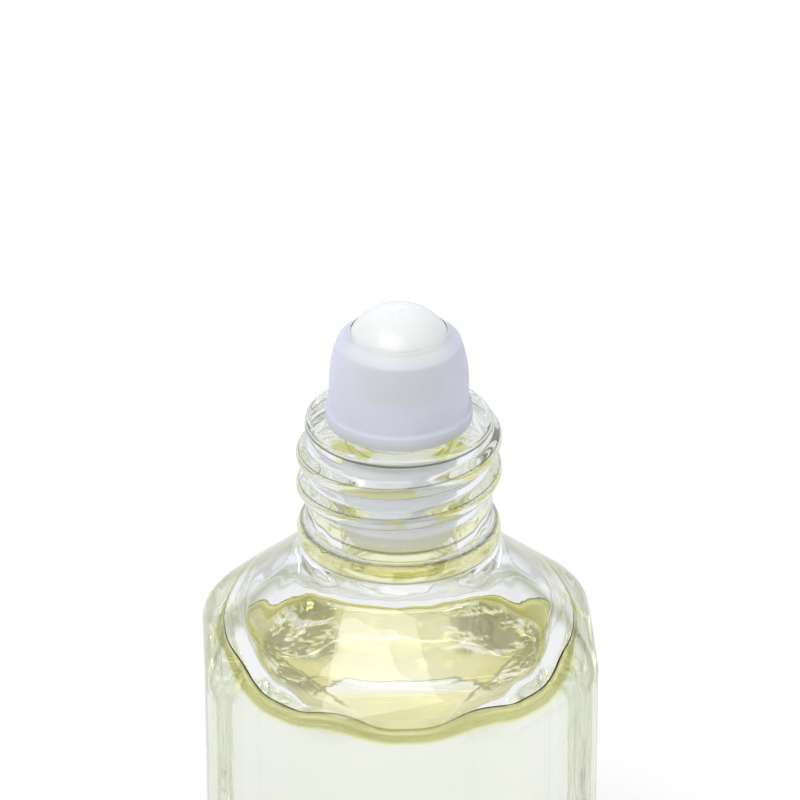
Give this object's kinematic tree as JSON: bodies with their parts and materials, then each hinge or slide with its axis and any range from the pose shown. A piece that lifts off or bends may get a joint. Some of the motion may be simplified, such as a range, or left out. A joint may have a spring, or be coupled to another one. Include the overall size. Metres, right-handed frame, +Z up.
{
  "type": "roll-on bottle",
  "caption": "Eight-sided clear glass roll-on bottle with a screw neck, a pull-out roller housing, a rolling ball and its oil.",
  "frame": {"origin": "centre of the base, on the surface that the bottle stands on", "axes": "+Z up along the bottle's axis through the neck; -Y looks out of one flat side of the body, the one the picture faces"},
  "size_m": [0.0284, 0.0284, 0.0566],
  "materials": {
    "clear_glass": "polished, clear flint glass",
    "pale_oil": "clear pale yellow liquid",
    "housing_plastic": "satin, translucent moulded plastic",
    "ball_plastic": "smooth white plastic"
  },
  "bodies": {
    "bottle": {"glass_bottle": "clear_glass", "oil_fill": "pale_oil"},
    "housing": {"roller_housing": "housing_plastic"},
    "ball": {"roller_ball": "ball_plastic"}
  },
  "joints": [
    {"name": "housing_pull", "type": "slide", "parent": "bottle", "child": "housing", "axis": [0, 0, 1], "range_m": [0, 0.014]},
    {"name": "ball_roll", "type": "hinge", "parent": "housing", "child": "ball", "pos_m": [0, 0, 0.05262], "axis": [1, 0, 0], "continuous": true}
  ]
}
